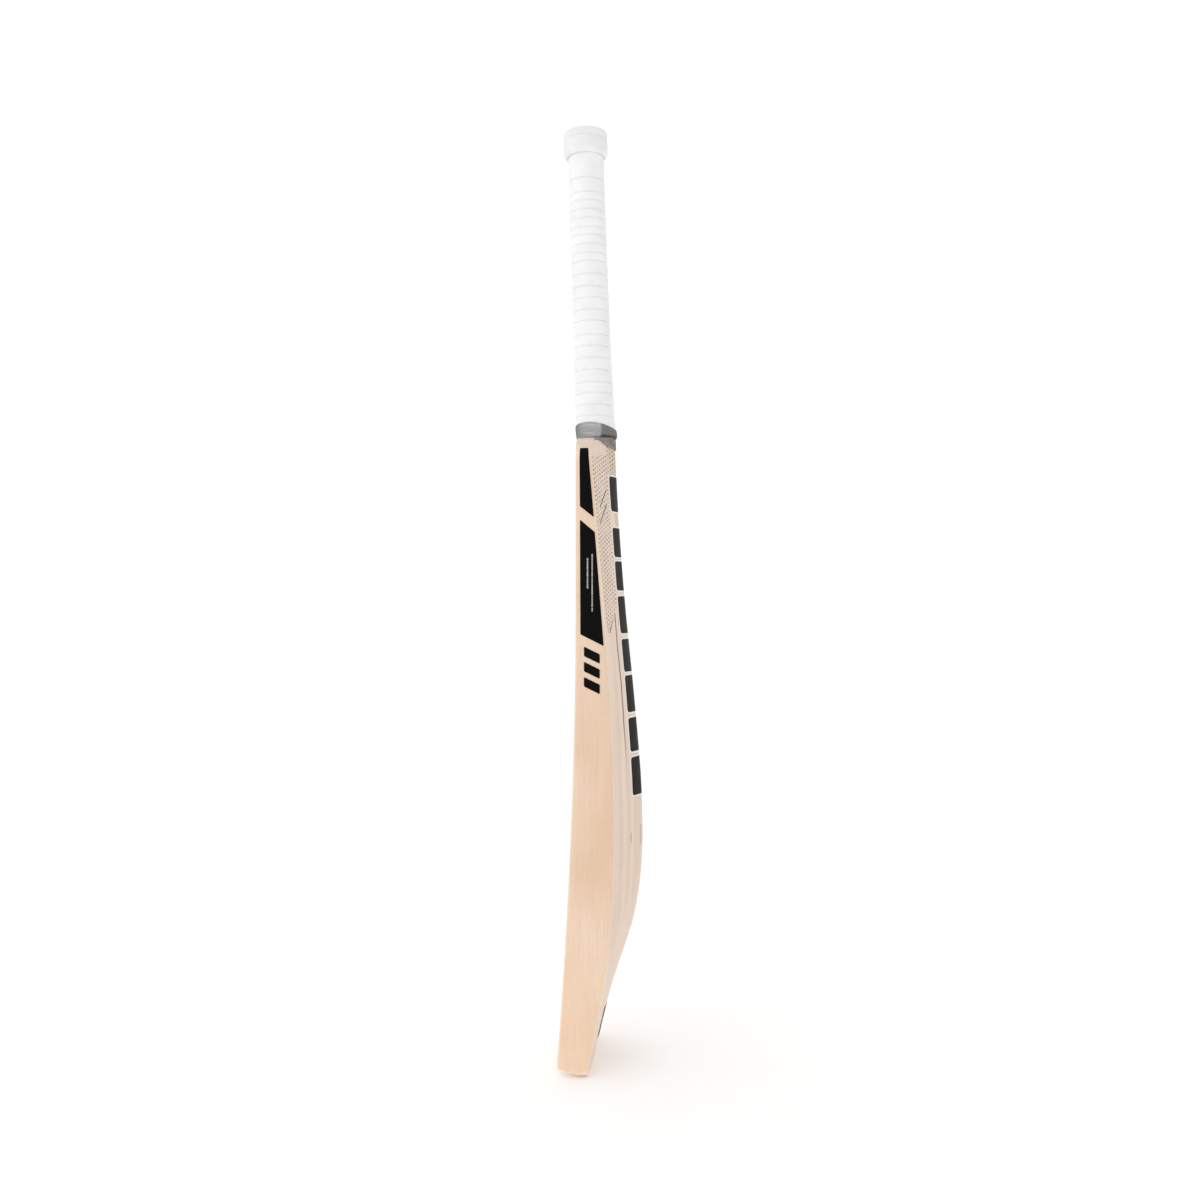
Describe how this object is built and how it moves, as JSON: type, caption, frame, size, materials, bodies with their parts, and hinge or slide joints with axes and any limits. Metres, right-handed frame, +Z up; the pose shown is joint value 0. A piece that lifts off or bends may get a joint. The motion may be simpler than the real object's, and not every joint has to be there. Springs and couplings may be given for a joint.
{
  "type": "cricket bat",
  "caption": "Cricket bat: crowned willow blade with a raised spine, spliced cane handle, ribbed rubber grip, taped throat and sticker panels.",
  "frame": {"origin": "on the flat of the toe, in line with the spine and 1 mm in front of the middle of the flat, with the bat upright", "axes": "+Z up the bat from toe to handle, -Y the way the hitting face looks, +Y the spine side, X across the blade"},
  "size_m": [0.109, 0.0753, 0.8575],
  "materials": {
    "willow": "light willow, fine straight grain, thin clear finish",
    "cane": "raw cane, fibrous",
    "spring_rubber": "dark sheet rubber",
    "twine": "waxed wound cord",
    "grip_rubber": "matt white ribbed rubber",
    "band_rubber": "smooth matt white rubber",
    "throat_tape": "grey wound cloth tape",
    "binding_tape": "brown-grey cloth tape, worn",
    "panel_vinyl": "black satin vinyl sticker",
    "badge_vinyl": "black satin vinyl sticker",
    "block_vinyl": "black vinyl sticker with a pale border",
    "back_print": "clear film printed with fine grey lines",
    "toe_vinyl": "dark vinyl sticker"
  },
  "bodies": {
    "root": {"blade": "willow", "cane_slip_1": "cane", "cane_slip_2": "cane", "cane_slip_3": "cane", "cane_slip_4": "cane", "cane_slip_5": "cane", "cane_slip_6": "cane", "cane_slip_7": "cane", "cane_slip_8": "cane", "cane_slip_9": "cane", "cane_slip_10": "cane", "cane_slip_11": "cane", "cane_slip_12": "cane", "spring_strip_1": "spring_rubber", "spring_strip_2": "spring_rubber", "spring_strip_3": "spring_rubber", "twine_binding": "twine", "grip": "grip_rubber", "grip_end_band": "band_rubber", "throat_tape": "throat_tape", "throat_binding": "binding_tape", "edge_panel_near_upper": "panel_vinyl", "edge_panel_near_lower": "panel_vinyl", "edge_badge_near_1": "badge_vinyl", "edge_badge_near_2": "badge_vinyl", "edge_badge_near_3": "badge_vinyl", "edge_panel_far_upper": "panel_vinyl", "edge_panel_far_lower": "panel_vinyl", "edge_badge_far_1": "badge_vinyl", "edge_badge_far_2": "badge_vinyl", "edge_badge_far_3": "badge_vinyl", "spine_block_1": "block_vinyl", "spine_block_2": "block_vinyl", "spine_block_3": "block_vinyl", "spine_block_4": "block_vinyl", "spine_block_5": "block_vinyl", "spine_block_6": "block_vinyl", "spine_block_7": "block_vinyl", "spine_block_8": "block_vinyl", "back_print_near": "back_print", "back_print_far": "back_print", "toe_bar_1": "toe_vinyl", "toe_bar_2": "toe_vinyl", "toe_bar_3": "toe_vinyl"}
  },
  "joints": []
}
